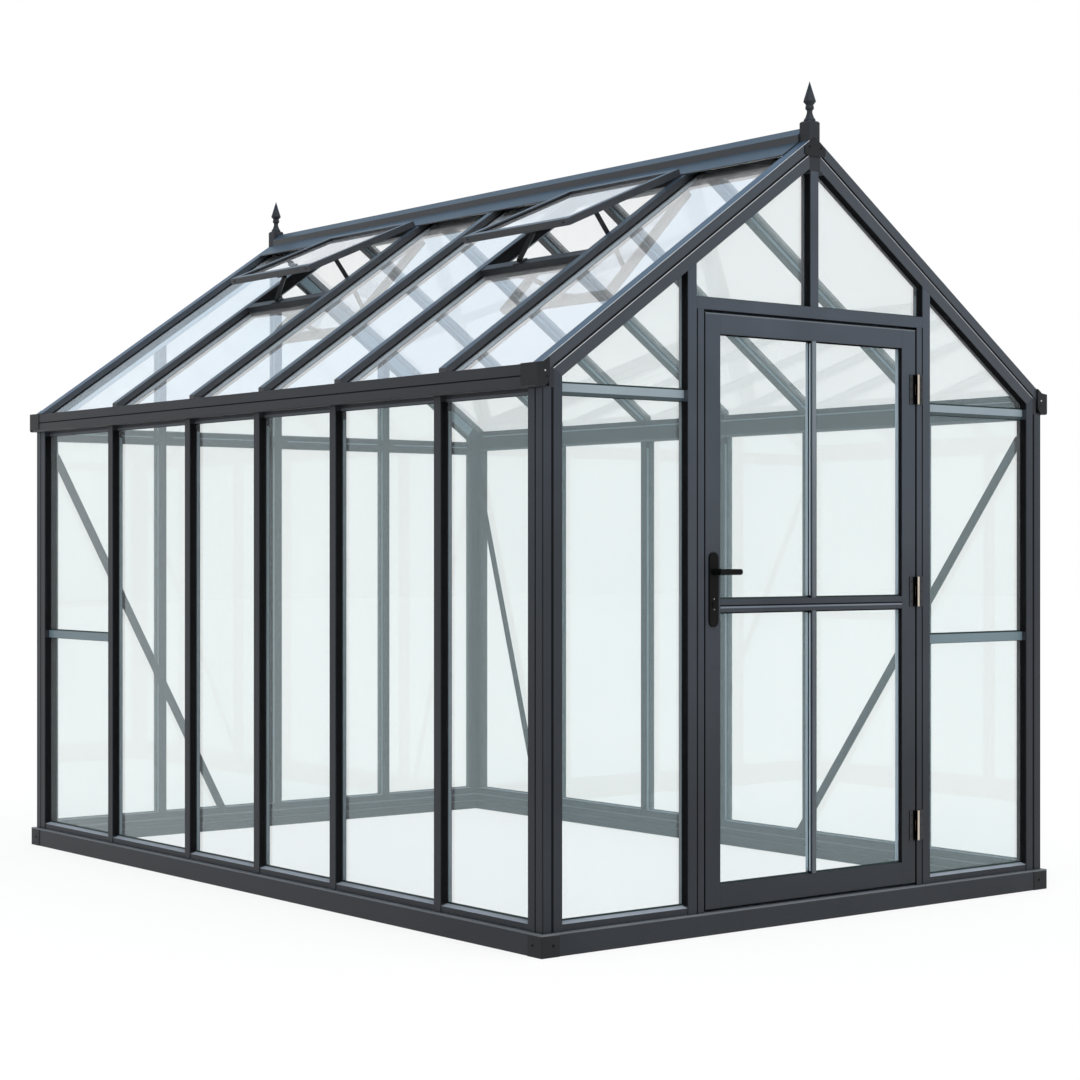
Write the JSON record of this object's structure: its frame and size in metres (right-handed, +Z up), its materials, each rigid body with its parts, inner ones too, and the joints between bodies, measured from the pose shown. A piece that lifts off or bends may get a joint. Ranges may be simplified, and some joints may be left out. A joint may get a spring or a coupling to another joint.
{
  "type": "glass greenhouse",
  "caption": "Gabled glass greenhouse with a dark aluminium frame, gutters, open roof vents, spear finials and a glazed hinged door with a lever handle.",
  "frame": {"origin": "middle of the footprint on the ground, under the base rails", "axes": "+Z up, +Y from the front gable with the door to the back gable, +X to the right along the front gable"},
  "size_m": [2.469, 3.6355, 2.9197],
  "materials": {
    "frame_coating": "satin anthracite powder coat",
    "dark_fittings": "satin dark powder coat",
    "glass": "clear float glass, faint green tint",
    "hinge_steel": "satin",
    "black_handle": "satin black"
  },
  "bodies": {
    "frame": {"base_front_rail": "frame_coating", "base_back_rail": "frame_coating", "base_side_rails": "frame_coating", "base_corner_plates": "dark_fittings", "corner_posts": "frame_coating", "left_wall_bars": "frame_coating", "right_wall_bars": "frame_coating", "left_sills": "frame_coating", "right_sills": "frame_coating", "gable_sills": "frame_coating", "left_gutter": "frame_coating", "right_gutter": "frame_coating", "gutter_end_caps": "dark_fittings", "front_rafters": "frame_coating", "back_rafters": "frame_coating", "left_roof_bars": "frame_coating", "right_roof_bars": "frame_coating", "ridge": "frame_coating", "ridge_end_posts": "frame_coating", "apex_plates": "dark_fittings", "finials": "frame_coating", "door_mullions": "frame_coating", "door_jambs": "frame_coating", "door_header": "frame_coating", "king_mullion": "frame_coating", "front_transoms": "frame_coating", "left_wall_transom": "frame_coating", "back_mullions": "frame_coating", "back_transoms": "frame_coating", "wind_braces": "frame_coating", "left_wall_glass": "glass", "right_wall_glass": "glass", "front_gable_glass": "glass", "back_gable_glass": "glass", "left_roof_glass": "glass", "right_roof_glass": "glass", "vent_trimmers": "frame_coating", "vent_stiles": "frame_coating", "vent_rails": "frame_coating", "vent_glass": "glass", "vent_openers": "dark_fittings", "vent_stays": "dark_fittings", "frame_hinges": "hinge_steel"},
    "door": {"door_stiles": "frame_coating", "door_rails": "frame_coating", "door_muntins": "frame_coating", "door_glass": "glass", "door_hinges": "hinge_steel", "handle_plates": "black_handle"},
    "lever": {"door_lever": "black_handle"}
  },
  "joints": [
    {"name": "door_hinge", "type": "hinge", "parent": "frame", "child": "door", "pos_m": [0.51475, -1.793, 1.1], "axis": [0, 0, 1], "range_deg": [0, 110]},
    {"name": "lever_turn", "type": "hinge", "parent": "door", "child": "lever", "pos_m": [-0.4775, -1.7655, 1.212], "axis": [0, 1, 0], "range_deg": [0, 40], "stiffness_Nm_per_rad": 1, "springref_deg": -28.65}
  ]
}
